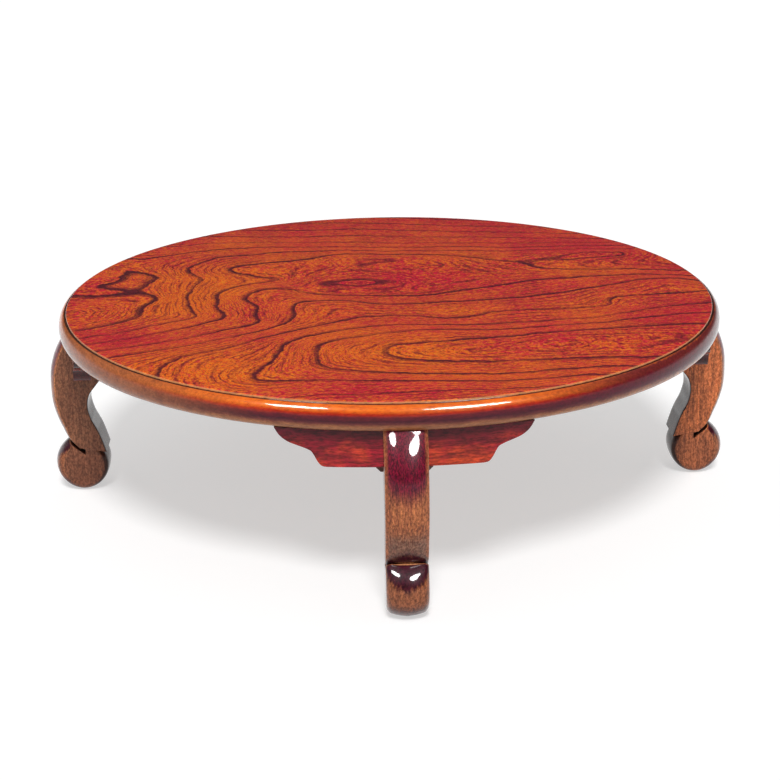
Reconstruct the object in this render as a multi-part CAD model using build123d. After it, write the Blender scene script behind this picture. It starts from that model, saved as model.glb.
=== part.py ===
from build123d import *
from math import cos, radians, sin, sqrt
import os

# Round folding low table: a veneered top in a rounded solid rim, four cabriole legs,
# and a snap hinge under each leg that lets it fold inwards and flat under the top.
# Frame: +Z up, origin on the floor under the middle of the top. Millimetres.
# Each leg unit is built on the +X side and then turned to its place.

os.makedirs("parts", exist_ok=True)

# ---- driving dimensions ----
TABLE_RADIUS = 600.0
TABLE_HEIGHT = 361.0
LEG_ANGLES = {"right": 0.0, "back": 90.0, "left": 180.0, "front": 270.0}

# top
PANEL_RADIUS = 586.0
PANEL_THICKNESS = 6.0
PANEL_LIP_RADIUS = 2.0
RIM_DEPTH = 47.0
RIM_STEP = 3.0            # the rim's crown lies this far below the panel's face
RIM_INNER_RADIUS = 530.0
RIM_GROOVE_RADIUS = 1.6
RIM_SEGMENTS = 4
CORE_THICKNESS = 20.0
BACKING_THICKNESS = 4.0
BATTEN_WIDTH = 120.0
BATTEN_END_GAP = 2.0

# leg
LEG_WIDTH = 69.0
LEG_EDGE_RADIUS = 4.5     # back edges of the shank
LEG_FRONT_ROUNDING = 16.0  # front edges, for the crown of the carved face
SEAT_GAP = 0.4            # under the rim, where a leg unit comes to rest
LEG_HEAD_OUTER = 589.0
SHANK_OUTER = (
    (604.5, 292),
    (617, 268),
    (625.5, 241),
    (628.7, 203),
    (627.3, 172),
    (621, 145),
    (613.3, 124),
    (600.5, 99),
)
SHANK_INNER = ((531, 77), (544, 118), (555.5, 143), (560.5, 166), (556.5, 189), (543, 208))
NECK_INNER = 524.0
FOOT_CENTRE_RADIUS = 579.0
FOOT_RADIUS = 50.0
FOOT_EDGE_RADIUS = 10.0
FOOT_FLAT = 1.0           # the wood of the foot ends this far above the floor
TOE_NOTCH = (582, 82)     # bottom of the notch between shank and toe
TOE_SLOPE = 39.0          # degrees, of the toe's upper face
TOE_RIDGE_RADIUS = 2.0
GLIDE_RADIUS = 13.0
GLIDE_THICKNESS = 3.0
GLIDE_CHAMFER = 0.5

# apron wings beside each leg, and the block behind its head
APRON_OUTER = 577.0       # outer face on the middle line of the leg, from the table's axis
APRON_BEND = 930.0        # radius of that face, bent more gently than the rim
APRON_THICKNESS = 31.0
APRON_HALF_LENGTH = 203.0
APRON_BOTTOM = 250.0
APRON_FLAT_END = 121.0
APRON_OGEE = (
    (130.5, 252),
    (136.5, 259),
    (142, 269.5),
    (146.5, 276),
    (153, 279.5),
    (168, 285),
    (183, 291),
    (194, 299.5),
)
APRON_OGEE_START = (1, 0)       # direction in which the ogee leaves the flat lower edge
APRON_OGEE_END = (0.25, 1)      # direction in which it runs up to the rim
BLOCK_INNER = 521.0
BLOCK_HALF_WIDTH = 45.0
BLOCK_BOTTOM = 230.0
BLOCK_CHAMFER = 7.0
DOWEL_RADIUS = 5.0
DOWEL_LENGTH = 44.0
DOWEL_HEIGHTS = (267.0, 297.0)

# snap hinge
PIVOT_RADIUS = 500.0
PIVOT_DROP = 17.0         # of the pin below the underside of the rim
PIN_RADIUS = 4.0
PIN_CLEARANCE = 0.05
PIN_HEAD_RADIUS = 6.5
PIN_HEAD_THICKNESS = 2.0
PIN_HEAD_ROUND = 1.2
PLATE = 3.0
CHEEK_GAP = 37.0          # between the faces of the two cheeks
CHEEK_REACH = 12.0        # of a cheek around the pin
KNUCKLE_HALF = 9.0        # flats of the knuckle above and behind the pin
KNUCKLE_ROUND = 5.0
KNUCKLE_OFFSET = 12.5     # middle of each ear from the middle of the hinge
EAR_DROP = 8.0            # of the ears below the knuckle, where they meet the leaf
EAR_ROOT = 1.0            # of the ears inside the leaf's plate
BASE_INNER = 420.0
BASE_OUTER = 514.0
BASE_WIDTH = 92.0
BASE_CORNER_RADIUS = 6.0
BASE_SCREW_PLACES = ((432.0, 34.0), (503.0, 34.0))
LEAF_WIDTH = 62.0
LEAF_TOP = 306.0
LEAF_BOTTOM = 237.0
LEAF_SCREW_HEIGHTS = (247.0, 274.0)
LEAF_SCREW_OFFSET = 22.0
SPRING_THICKNESS = 1.5
SPRING_WIDTH = 31.0
SPRING_GAP = 0.2
SPRING_FIXED_END = 424.0
SPRING_BEND_START = 442.0
SPRING_BEND_END = 454.0
SPRING_SCREW_OFFSET = 8.0
SPRING_SCREW_PLACE = 434.0

# screws
SCREW_SHANK_RADIUS = 2.0
SCREW_HEAD_RADIUS = 4.2
SCREW_HEAD_HEIGHT = 2.4
SCREW_HEAD_ROUND = 1.0
SCREW_LENGTH = 14.0
SLOT_LENGTH = 10.5        # longer than the head is wide, so the slot runs out at both ends
SLOT_WIDTH = 1.2
SLOT_DEPTH = 1.0

EDGE_TOLERANCE = 0.1      # for picking edges by their place

# ---- sizes that follow ----
RIM_BOTTOM = TABLE_HEIGHT - RIM_DEPTH
RIM_TOP = TABLE_HEIGHT - RIM_STEP
PANEL_BOTTOM = TABLE_HEIGHT - PANEL_THICKNESS
CORE_BOTTOM = PANEL_BOTTOM - CORE_THICKNESS
BACKING_BOTTOM = CORE_BOTTOM - BACKING_THICKNESS
LEG_TOP = RIM_BOTTOM - SEAT_GAP
APRON_INNER = APRON_OUTER - APRON_THICKNESS
BASE_UNDERSIDE = RIM_BOTTOM - PLATE
PIVOT_HEIGHT = RIM_BOTTOM - PIVOT_DROP
SPRING_UNDERSIDE = PIVOT_HEIGHT + KNUCKLE_HALF + SPRING_GAP


def disc(radius, low, high):
    """Upright cylinder about the table's axis, between two heights."""
    return Pos(0, 0, (low + high) / 2) * Cylinder(radius, high - low)


def block(x_low, x_high, y_low, y_high, z_low, z_high):
    """Box between two corners."""
    size = (x_high - x_low, y_high - y_low, z_high - z_low)
    middle = Vector((x_low + x_high) / 2, (y_low + y_high) / 2, (z_low + z_high) / 2)
    return Pos(middle) * Box(*size)


def rod(radius, start, end):
    """Round bar between two points that share two coordinates."""
    middle = (Vector(*start) + Vector(*end)) / 2
    along = Vector(*end) - Vector(*start)
    return Plane(middle, z_dir=along) * Cylinder(radius, along.length)


def side_plate(outline, thickness):
    """Solid from an outline in the upright X-Z plane, half its thickness each side of y = 0."""
    return extrude(Plane.XZ * outline, thickness / 2, both=True)


def screw(face, direction, length=SCREW_LENGTH):
    """Pan-head wood screw: its head stands on the face, its shank goes along the direction."""
    head_end = Vector(*face) - Vector(*direction) * SCREW_HEAD_HEIGHT
    frame = Plane(Vector(*face), z_dir=Vector(*direction))
    shank = frame * Pos(0, 0, length / 2) * Cylinder(SCREW_SHANK_RADIUS, length)
    middle = frame * Pos(0, 0, -SCREW_HEAD_HEIGHT / 2)
    head = middle * Cylinder(SCREW_HEAD_RADIUS, SCREW_HEAD_HEIGHT)
    outer_rim = head.edges().filter_by(GeomType.CIRCLE).sort_by_distance(head_end)[0]
    head = fillet(outer_rim, SCREW_HEAD_ROUND)
    slot_place = frame * Pos(0, 0, -SCREW_HEAD_HEIGHT + SLOT_DEPTH / 2)
    slot = slot_place * Box(SLOT_LENGTH, SLOT_WIDTH, SLOT_DEPTH)
    return shank + (head - slot)


def screw_hole(face, direction, length=SCREW_LENGTH):
    """The room that a screw's shank takes, through plate and wood."""
    frame = Plane(Vector(*face), z_dir=Vector(*direction))
    return frame * Pos(0, 0, length / 2) * Cylinder(SCREW_SHANK_RADIUS, length)


def turned(shape, side):
    """A piece of the +X leg unit, turned to the named side of the table."""
    return Rot(0, 0, LEG_ANGLES[side]) * shape


# ---- the top ----
def make_top_panel():
    """Veneered face panel, a thin disc with a small rounded lip."""
    panel = disc(PANEL_RADIUS, PANEL_BOTTOM, TABLE_HEIGHT)
    lip = panel.edges().filter_by(GeomType.CIRCLE).sort_by(Axis.Z)[-1]
    return fillet(lip, PANEL_LIP_RADIUS)


def make_core_board():
    """Board that fills the rim under the face panel."""
    return disc(RIM_INNER_RADIUS, CORE_BOTTOM, PANEL_BOTTOM)


def make_backing_panel():
    """Thin balancing panel under the core."""
    return disc(RIM_INNER_RADIUS, BACKING_BOTTOM, CORE_BOTTOM)


def make_rim():
    """Whole rim: a rectangular ring under the panel with a bullnose outer face."""
    overhang = TABLE_RADIUS - PANEL_RADIUS
    half_depth = (RIM_TOP - RIM_BOTTOM) / 2
    bullnose = Pos(PANEL_RADIUS, RIM_BOTTOM + half_depth) * Ellipse(overhang, half_depth)
    outer_half = Pos(PANEL_RADIUS + overhang, RIM_BOTTOM + half_depth) * Rectangle(
        2 * overhang, 3 * half_depth
    )
    body_width = PANEL_RADIUS - RIM_INNER_RADIUS
    body = Pos(RIM_INNER_RADIUS + body_width / 2, (RIM_BOTTOM + PANEL_BOTTOM) / 2) * Rectangle(
        body_width, PANEL_BOTTOM - RIM_BOTTOM
    )
    groove = Pos(PANEL_RADIUS + RIM_GROOVE_RADIUS, RIM_TOP) * Circle(RIM_GROOVE_RADIUS)
    section = body + (bullnose & outer_half) - groove
    return revolve(Plane.XZ * section, Axis.Z, 360)


def make_rim_segments():
    """The rim, cut on the diagonals between the legs."""
    ring = make_rim()
    sweep_angle = 360 / RIM_SEGMENTS
    reach = 2 * TABLE_RADIUS
    pieces = []
    for number in range(RIM_SEGMENTS):
        start = radians(-sweep_angle / 2 + number * sweep_angle)
        end = start + radians(sweep_angle)
        wedge = Polygon(
            (0, 0),
            (reach * cos(start), reach * sin(start)),
            (reach * cos(end), reach * sin(end)),
            align=None,
        )
        pieces.append(ring & extrude(wedge, TABLE_HEIGHT))
    return pieces


def base_screw_points():
    """Places of the four screws of a hinge base, on the underside of its plate."""
    return [
        (radius, side * offset, BASE_UNDERSIDE)
        for radius, offset in BASE_SCREW_PLACES
        for side in (-1, 1)
    ]


def spring_screw_points():
    """Places of the two screws of a back spring, on the underside of its fixed end."""
    low = BASE_UNDERSIDE - SPRING_THICKNESS
    return [(SPRING_SCREW_PLACE, side * SPRING_SCREW_OFFSET, low) for side in (-1, 1)]


def under_top_holes():
    """Screw room in the battens at all four hinges."""
    points = base_screw_points() + spring_screw_points()
    unit = Part() + [screw_hole(point, (0, 0, 1)) for point in points]
    return Part() + [turned(unit, side) for side in LEG_ANGLES]


def make_battens(holes):
    """Two battens in the recess of the rim, half-lapped where they cross."""
    half = sqrt(RIM_INNER_RADIUS**2 - (BATTEN_WIDTH / 2) ** 2) - BATTEN_END_GAP
    edge = BATTEN_WIDTH / 2
    lap = (RIM_BOTTOM + BACKING_BOTTOM) / 2
    across = block(-half, half, -edge, edge, RIM_BOTTOM, BACKING_BOTTOM)
    along = block(-edge, edge, -half, half, RIM_BOTTOM, BACKING_BOTTOM)
    across -= block(-edge, edge, -edge, edge, RIM_BOTTOM, lap)
    along -= block(-edge, edge, -edge, edge, lap, BACKING_BOTTOM)
    return across - holes, along - holes


# ---- leg unit, on the +X side ----
def leg_outline():
    """Cabriole shank seen from the side: x is the distance from the table's axis."""
    outer = Spline((LEG_HEAD_OUTER, LEG_TOP), *SHANK_OUTER, TOE_NOTCH)
    inner = Spline(*SHANK_INNER, (NECK_INNER, BLOCK_BOTTOM))
    edges = [
        outer,
        Line(outer @ 1, inner @ 0),
        inner,
        Line(inner @ 1, (APRON_INNER, BLOCK_BOTTOM)),
        Line((APRON_INNER, BLOCK_BOTTOM), (APRON_INNER, LEG_TOP)),
        Line((APRON_INNER, LEG_TOP), (LEG_HEAD_OUTER, LEG_TOP)),
    ]
    return make_face(Curve() + edges)


def make_foot():
    """Scroll foot: a round drum with soft edges, its toe cut back to a ridge under the shank."""
    drum = Pos(FOOT_CENTRE_RADIUS, 0, FOOT_RADIUS) * Rot(90, 0, 0) * Cylinder(FOOT_RADIUS, LEG_WIDTH)
    drum = fillet(drum.edges().filter_by(GeomType.CIRCLE), FOOT_EDGE_RADIUS)
    reach = 2 * FOOT_RADIUS
    notch_x, notch_z = TOE_NOTCH
    above_toe = Polygon(
        (notch_x, notch_z),
        (notch_x + reach * cos(radians(TOE_SLOPE)), notch_z + reach * sin(radians(TOE_SLOPE))),
        (notch_x, notch_z + reach),
        align=None,
    )
    drum -= side_plate(above_toe, 2 * LEG_WIDTH)
    ridge = [
        edge
        for edge in drum.edges().filter_by(GeomType.LINE)
        if edge.center().X > notch_x + TOE_RIDGE_RADIUS and edge.center().Z > notch_z + TOE_RIDGE_RADIUS
    ]
    drum = fillet(ridge, TOE_RIDGE_RADIUS)
    return drum - block(notch_x - reach, notch_x + reach, -reach, reach, -reach, FOOT_FLAT)


def shank_arrises(shank, front):
    """The long curved edges along the front or the back of the shank."""
    return [
        edge
        for edge in shank.edges().filter_by(GeomType.BSPLINE)
        if abs(abs(edge.center().Y) - LEG_WIDTH / 2) < EDGE_TOLERANCE
        and (edge.center().X > FOOT_CENTRE_RADIUS) == front
    ]


def make_leg():
    """Carved leg: a shank with a crowned front over a fuller, rounder foot."""
    shank = side_plate(leg_outline(), LEG_WIDTH)
    shank = fillet(shank_arrises(shank, front=True), LEG_FRONT_ROUNDING)
    shank = fillet(shank_arrises(shank, front=False), LEG_EDGE_RADIUS)
    leg = shank + make_foot()
    return leg - glide_disc() - dowel_set()


def glide_disc():
    """The room that the glide takes in the foot."""
    return Pos(FOOT_CENTRE_RADIUS, 0, 0) * disc(GLIDE_RADIUS, 0, GLIDE_THICKNESS)


def make_glide():
    """Hard felt disc let into the underside of the foot."""
    lower = glide_disc().edges().filter_by(GeomType.CIRCLE).sort_by(Axis.Z)[0]
    return chamfer(lower, GLIDE_CHAMFER)


def apron_outline(side):
    """Front face of one wing, flattened: x runs away from the leg, y is the height."""
    start = LEG_WIDTH / 2
    ogee = Spline(
        (APRON_FLAT_END, APRON_BOTTOM),
        *APRON_OGEE,
        (APRON_HALF_LENGTH, LEG_TOP),
        tangents=(APRON_OGEE_START, APRON_OGEE_END),
    )
    edges = [
        Line((start, APRON_BOTTOM), (APRON_FLAT_END, APRON_BOTTOM)),
        ogee,
        Line((APRON_HALF_LENGTH, LEG_TOP), (start, LEG_TOP)),
        Line((start, LEG_TOP), (start, APRON_BOTTOM)),
    ]
    face = make_face(Curve() + edges)
    return face if side > 0 else mirror(face, about=Plane.YZ)


def make_apron(side):
    """One wing: a gently bent board with an ogee end."""
    across = Plane(origin=(0, 0, 0), x_dir=(0, 1, 0), z_dir=(1, 0, 0))
    board = extrude(across * apron_outline(side), 2 * APRON_OUTER)
    ring = disc(APRON_BEND, 0, TABLE_HEIGHT) - disc(APRON_BEND - APRON_THICKNESS, 0, TABLE_HEIGHT)
    wing = board & (Pos(APRON_OUTER - APRON_BEND, 0, 0) * ring)
    behind = block(0, APRON_INNER, -BLOCK_HALF_WIDTH, BLOCK_HALF_WIDTH, 0, TABLE_HEIGHT)
    return wing - behind - dowel_set()


def dowel_points():
    """Middles of the dowels that join both wings to the leg."""
    radius = (APRON_INNER + APRON_OUTER) / 2
    return [(radius, side * LEG_WIDTH / 2, height) for side in (-1, 1) for height in DOWEL_HEIGHTS]


def dowel_set():
    """The four dowels of one leg unit."""
    half = DOWEL_LENGTH / 2
    dowels = [
        rod(DOWEL_RADIUS, (x, y - half, z), (x, y + half, z))
        for x, y, z in dowel_points()
    ]
    return Part() + dowels


def leaf_screw_points():
    """Places of the four screws of the leaf, on its inner face."""
    face = BLOCK_INNER - PLATE
    return [(face, side * LEAF_SCREW_OFFSET, z) for z in LEAF_SCREW_HEIGHTS for side in (-1, 1)]


def make_head_block():
    """Block glued behind the leg's head and the roots of both wings."""
    shape = block(BLOCK_INNER, APRON_INNER, -BLOCK_HALF_WIDTH, BLOCK_HALF_WIDTH, BLOCK_BOTTOM, LEG_TOP)
    lower_corners = shape.edges().filter_by(Axis.X).group_by(Axis.Z)[0]
    shape = chamfer(lower_corners, BLOCK_CHAMFER)
    return shape - [screw_hole(point, (1, 0, 0)) for point in leaf_screw_points()]


def make_hinge_leaf():
    """Leaf screwed to the block, with two ears that end in a square knuckle on the pin."""
    face = BLOCK_INNER - PLATE
    plate = block(face, BLOCK_INNER, -LEAF_WIDTH / 2, LEAF_WIDTH / 2, LEAF_BOTTOM, LEAF_TOP)
    knuckle = Pos(PIVOT_RADIUS, PIVOT_HEIGHT) * RectangleRounded(
        2 * KNUCKLE_HALF, 2 * KNUCKLE_HALF, KNUCKLE_ROUND
    )
    web_width = face + EAR_ROOT - PIVOT_RADIUS
    web_height = 2 * KNUCKLE_HALF + EAR_DROP
    web_middle = Pos(PIVOT_RADIUS + web_width / 2, PIVOT_HEIGHT - EAR_DROP / 2)
    profile = knuckle + web_middle * Rectangle(web_width, web_height)
    ears = [Pos(0, side * KNUCKLE_OFFSET, 0) * side_plate(profile, PLATE) for side in (-1, 1)]
    leaf = plate + ears
    leaf -= rod(
        PIN_RADIUS + PIN_CLEARANCE,
        (PIVOT_RADIUS, -LEAF_WIDTH, PIVOT_HEIGHT),
        (PIVOT_RADIUS, LEAF_WIDTH, PIVOT_HEIGHT),
    )
    return leaf - [screw_hole(point, (1, 0, 0)) for point in leaf_screw_points()]


# ---- hinge parts that stay with the top ----
def make_hinge_base():
    """Base plate under the batten with two cheeks that carry the pin."""
    plate = block(BASE_INNER, BASE_OUTER, -BASE_WIDTH / 2, BASE_WIDTH / 2, BASE_UNDERSIDE, RIM_BOTTOM)
    upright = plate.edges().filter_by(Axis.Z)
    plate = fillet(upright, BASE_CORNER_RADIUS)
    around_pin = Pos(PIVOT_RADIUS, PIVOT_HEIGHT) * Circle(CHEEK_REACH)
    root_height = BASE_UNDERSIDE + PLATE / 2 - PIVOT_HEIGHT
    root = Pos(PIVOT_RADIUS - CHEEK_REACH / 2, PIVOT_HEIGHT + root_height / 2) * Rectangle(
        3 * CHEEK_REACH, root_height
    )
    profile = around_pin + root
    offset = (CHEEK_GAP + PLATE) / 2
    cheeks = [Pos(0, side * offset, 0) * side_plate(profile, PLATE) for side in (-1, 1)]
    base = plate + cheeks
    base -= pin_shank()
    points = base_screw_points() + spring_screw_points()
    return base - [screw_hole(point, (0, 0, 1)) for point in points]


def pin_shank():
    """Shank of the hinge pin, from cheek to cheek."""
    reach = CHEEK_GAP / 2 + PLATE
    return rod(PIN_RADIUS, (PIVOT_RADIUS, -reach, PIVOT_HEIGHT), (PIVOT_RADIUS, reach, PIVOT_HEIGHT))


def make_hinge_pin():
    """Riveted pin, with a domed head outside each cheek."""
    pin = pin_shank()
    reach = CHEEK_GAP / 2 + PLATE
    for side in (-1, 1):
        inner = (PIVOT_RADIUS, side * reach, PIVOT_HEIGHT)
        outer = (PIVOT_RADIUS, side * (reach + PIN_HEAD_THICKNESS), PIVOT_HEIGHT)
        head = rod(PIN_HEAD_RADIUS, inner, outer)
        outer_rim = head.edges().filter_by(GeomType.CIRCLE).sort_by_distance(Vector(*outer))[0]
        pin += fillet(outer_rim, PIN_HEAD_ROUND)
    return pin


def make_back_spring():
    """Leaf spring that lies on the knuckle's flat and snaps over its corner as the leg turns."""
    high = BASE_UNDERSIDE
    low = SPRING_UNDERSIDE + SPRING_THICKNESS
    free_end = PIVOT_RADIUS + KNUCKLE_HALF
    outline = Polygon(
        (SPRING_FIXED_END, high),
        (SPRING_BEND_START, high),
        (SPRING_BEND_END, low),
        (free_end, low),
        (free_end, low - SPRING_THICKNESS),
        (SPRING_BEND_END, low - SPRING_THICKNESS),
        (SPRING_BEND_START, high - SPRING_THICKNESS),
        (SPRING_FIXED_END, high - SPRING_THICKNESS),
        align=None,
    )
    spring = side_plate(outline, SPRING_WIDTH)
    return spring - [screw_hole(point, (0, 0, 1)) for point in spring_screw_points()]


# ---- write every piece ----
def save(name, shape):
    """Write one node."""
    export_step(shape, f"parts/{name}.step")
    size = shape.bounding_box().size
    print(f"{name}: {size.X:.1f} x {size.Y:.1f} x {size.Z:.1f}")


def main():
    holes = under_top_holes()
    save("top_panel", make_top_panel())
    save("core_board", make_core_board())
    save("backing_panel", make_backing_panel())
    for side, segment in zip(LEG_ANGLES, make_rim_segments()):
        save(f"rim_segment_{side}", segment)
    across, along = make_battens(holes)
    save("batten_across", across)
    save("batten_along", along)

    leg = make_leg()
    glide = make_glide()
    wings = {"left": make_apron(-1), "right": make_apron(1)}
    head_block = make_head_block()
    dowels = dowel_set()
    leaf = make_hinge_leaf()
    leaf_screws = Compound([screw(point, (1, 0, 0)) for point in leaf_screw_points()])
    base = make_hinge_base()
    pin = make_hinge_pin()
    spring = make_back_spring()
    base_screws = [screw(point, (0, 0, 1)) for point in base_screw_points() + spring_screw_points()]

    for side in LEG_ANGLES:
        save(f"leg_{side}", turned(leg, side))
        save(f"foot_glide_{side}", turned(glide, side))
        for hand, wing in wings.items():
            save(f"apron_{side}_{hand}_wing", turned(wing, side))
        save(f"head_block_{side}", turned(head_block, side))
        save(f"apron_dowels_{side}", turned(Compound(dowels.solids()), side))
        save(f"hinge_leaf_{side}", turned(leaf, side))
        save(f"leaf_screws_{side}", turned(leaf_screws, side))
        save(f"hinge_base_{side}", turned(base, side))
        save(f"hinge_pin_{side}", turned(pin, side))
        save(f"back_spring_{side}", turned(spring, side))
    all_base_screws = [turned(one, side) for side in LEG_ANGLES for one in base_screws]
    save("hinge_base_screws", Compound(all_base_screws))


main()
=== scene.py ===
# %% [markdown]
# # A round folding low table in red lacquered zelkova
#
# The table has a veneered top in a rounded solid rim, four carved legs that fold in
# on snap hinges, and a pair of apron wings beside each leg.  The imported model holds
# every joint and every hidden part, so the first step is to load it as a fixed frame.
# All that follows is made in the same metres and the same place, so nothing is fitted.

# %% Load the frame and measure it
import math

import bmesh
import bpy
import numpy as np
from mathutils import Matrix, Vector


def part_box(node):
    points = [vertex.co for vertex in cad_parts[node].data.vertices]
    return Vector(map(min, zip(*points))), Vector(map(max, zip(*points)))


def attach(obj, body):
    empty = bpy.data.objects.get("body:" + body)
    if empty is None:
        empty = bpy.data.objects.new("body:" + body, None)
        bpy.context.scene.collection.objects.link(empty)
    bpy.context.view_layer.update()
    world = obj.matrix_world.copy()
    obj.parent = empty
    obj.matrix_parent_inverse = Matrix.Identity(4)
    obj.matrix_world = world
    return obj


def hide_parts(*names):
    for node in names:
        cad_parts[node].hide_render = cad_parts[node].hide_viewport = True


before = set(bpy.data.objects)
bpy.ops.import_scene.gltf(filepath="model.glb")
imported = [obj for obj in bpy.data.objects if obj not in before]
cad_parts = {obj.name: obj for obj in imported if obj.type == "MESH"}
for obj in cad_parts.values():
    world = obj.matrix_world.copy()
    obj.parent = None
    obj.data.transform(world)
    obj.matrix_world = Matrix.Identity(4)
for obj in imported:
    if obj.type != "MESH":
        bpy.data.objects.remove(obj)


def placed(name, data):
    """A new object in the scene that shows this data."""
    made = bpy.data.objects.new(name, data)
    bpy.context.scene.collection.objects.link(made)
    return made


bpy.context.view_layer.update()

# %% [markdown]
# ## The camera
#
# A long lens a little above the table keeps the round top a calm ellipse.  Aiming a
# camera could be done with a Track To constraint, but a hand-held camera also leans
# a little.  So its three axes are worked out as vectors and written as a matrix.

# %% Camera
CAMERA_PLACE = Vector((-0.1226, -3.1054, 1.2704))
CAMERA_HEADING = Vector((0.0394, 0.9992, 0.0))
CAMERA_DIP = math.radians(19.45)
CAMERA_LEAN = math.radians(0.762)
CAMERA_LENS = 81.17       # mm
CAMERA_SENSOR = 36.0      # mm
UP = Vector((0.0, 0.0, 1.0))

ahead = CAMERA_HEADING.normalized() * math.cos(CAMERA_DIP) - UP * math.sin(CAMERA_DIP)
level_right = ahead.cross(UP).normalized()
level_up = level_right.cross(ahead)
right = level_right * math.cos(CAMERA_LEAN) - level_up * math.sin(CAMERA_LEAN)
above = level_right * math.sin(CAMERA_LEAN) + level_up * math.cos(CAMERA_LEAN)

camera_data = bpy.data.cameras.new("camera")
camera_data.lens = CAMERA_LENS
camera_data.sensor_width = CAMERA_SENSOR
camera_data.dof.use_dof = False
camera = placed("camera", camera_data)
axes = Matrix((right, above, -ahead)).transposed().to_4x4()
camera.matrix_world = Matrix.Translation(CAMERA_PLACE) @ axes
bpy.context.scene.camera = camera
bpy.context.scene.view_settings.view_transform = "Standard"
print("camera distance to the table's middle (m):", round(CAMERA_PLACE.length, 3))

# %% [markdown]
# ## Shader helpers
#
# Every finish below is made of nodes.  Adding and linking nodes one by one would bury
# the idea of each finish in bookkeeping, so small helpers do it.  A colour is written
# as its 0-255 screen values, and most finishes are one colour with others laid over it.

# %% Helpers for materials
def tint(red, green, blue):
    """A colour given as 0-255 screen values, as the linear colour a socket takes."""
    def linear(value):
        share = value / 255.0
        return share / 12.92 if share <= 0.04045 else ((share + 0.055) / 1.055) ** 2.4
    return (linear(red), linear(green), linear(blue), 1.0)


def add(tree, kind, inputs=None, **settings):
    """A node, its settings, and its input sockets set to a value or linked to a socket."""
    made = tree.nodes.new(kind)
    for name, value in settings.items():
        setattr(made, name, value)
    for name, value in (inputs or {}).items():
        socket = made.inputs[name]
        if isinstance(value, bpy.types.NodeSocket):
            tree.links.new(value, socket)
        else:
            socket.default_value = value
    return made


def calc(tree, operation, first, second=0.0, third=0.0):
    """One Math node; numbers and sockets may be mixed."""
    inputs = {0: first, 1: second}
    if operation == "MULTIPLY_ADD":
        inputs[2] = third
    return add(tree, "ShaderNodeMath", inputs, operation=operation).outputs[0]


def times(tree, first, *others):
    """Product of numbers and sockets."""
    for other in others:
        first = calc(tree, "MULTIPLY", first, other)
    return first


def centred(tree, pattern):
    """A pattern between 0 and 1, moved so that it swings round 0."""
    return calc(tree, "SUBTRACT", pattern, 0.5)


def painted(colour):
    """0-255 screen values as a colour; a socket stays as it is."""
    return colour if isinstance(colour, bpy.types.NodeSocket) else tint(*colour)


def blend(tree, amount, first, second, mode="MIX"):
    """Mixes two colours."""
    inputs = {0: amount, 6: painted(first), 7: painted(second)}
    return add(tree, "ShaderNodeMix", inputs, data_type="RGBA", blend_type=mode).outputs[2]


def layered(tree, colour, *layers):
    """Lays colours over a first one in turn; each layer is an amount and a colour."""
    for amount, over in layers:
        colour = blend(tree, amount, colour, over)
    return colour


def ease(tree, value, start, end, low=0.0, high=1.0):
    """Carries a value smoothly from low at start to high at end."""
    inputs = {"Value": value, "From Min": start, "From Max": end, "To Min": low, "To Max": high}
    return add(tree, "ShaderNodeMapRange", inputs, interpolation_type="SMOOTHSTEP").outputs[0]


def noise(tree, place, scale, detail=2.0, rough=0.5):
    """Soft random pattern between 0 and 1."""
    inputs = {"Vector": place, "Scale": scale, "Detail": detail, "Roughness": rough}
    return add(tree, "ShaderNodeTexNoise", inputs).outputs["Fac"]


def speckled(tree, place, colour, amount, scale=300.0):
    """Fine light and dark specks over a colour, which leave its mean alone."""
    specks = ease(tree, noise(tree, place, scale, 2.0, 0.7), 0.32, 0.68, 0.05, 0.95)
    return blend(tree, amount, colour, specks, "OVERLAY")


def scaled(tree, vector, factors):
    """A vector with each of its three parts multiplied."""
    inputs = {0: vector, 1: factors}
    return add(tree, "ShaderNodeVectorMath", inputs, operation="MULTIPLY").outputs[0]


def xyz(tree, vector):
    """The three parts of a vector."""
    return add(tree, "ShaderNodeSeparateXYZ", {0: vector}).outputs


def out_from_middle(tree, place):
    """Distance from the upright line through the middle of the table."""
    split = xyz(tree, place)
    squares = [times(tree, split[axis], split[axis]) for axis in "XY"]
    return calc(tree, "SQRT", calc(tree, "ADD", *squares))


def object_place(tree):
    """Place in the metres and directions the piece was made in."""
    return add(tree, "ShaderNodeTexCoord").outputs["Object"]


def bump(tree, shader, height, strength, distance, normal="Normal", **settings):
    """Lets a pattern raise the surface, or only the coat over it."""
    inputs = {"Height": height, "Strength": strength, "Distance": distance}
    raised = add(tree, "ShaderNodeBump", inputs, **settings)
    tree.links.new(raised.outputs[0], shader.inputs[normal])


def dress(tree, shader, colour, pattern, low, high):
    """Links the colour, and a roughness that goes from low to high with a pattern."""
    tree.links.new(colour, shader.inputs["Base Color"])
    tree.links.new(ease(tree, pattern, 0.2, 0.8, low, high), shader.inputs["Roughness"])


FINISHES = {}             # every finish, by the name of the slot it is for


def finish(name, **values):
    """A material with one Principled shader, whose even values are set on its sockets."""
    material = bpy.data.materials.new(name)
    FINISHES[name] = material
    material.use_nodes = True
    shader = material.node_tree.nodes["Principled BSDF"]
    for socket, value in values.items():
        shader.inputs[socket.replace("_", " ")].default_value = value
    return material, material.node_tree, shader


# %% [markdown]
# ## The studio
#
# The table stands on a white floor that reaches past the picture on all sides.  A wide
# key light, high in front, gives one soft shadow that lies a little behind the table.
# Two soft boxes, one on the left and higher, one on the right and lower, give only the
# paired highlights on rim and legs; further down, the flat top is left out of their
# light.  Lamps bright enough to burn the floor white would also bleach the wood.  So
# the floor adds a little light of its own, only where the camera or a mirror-like
# surface looks at it.

# %% Floor
FLOOR_REACH = 30.0
FLOOR_BOUNCE = (0.80, 0.78, 0.76, 1.0)      # the light it throws back at the table
FLOOR_GLOW = 0.53                           # as it looks itself: light of its own,
FLOOR_SHARE = 0.54                          # and the share of the lamps' light it returns

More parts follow.
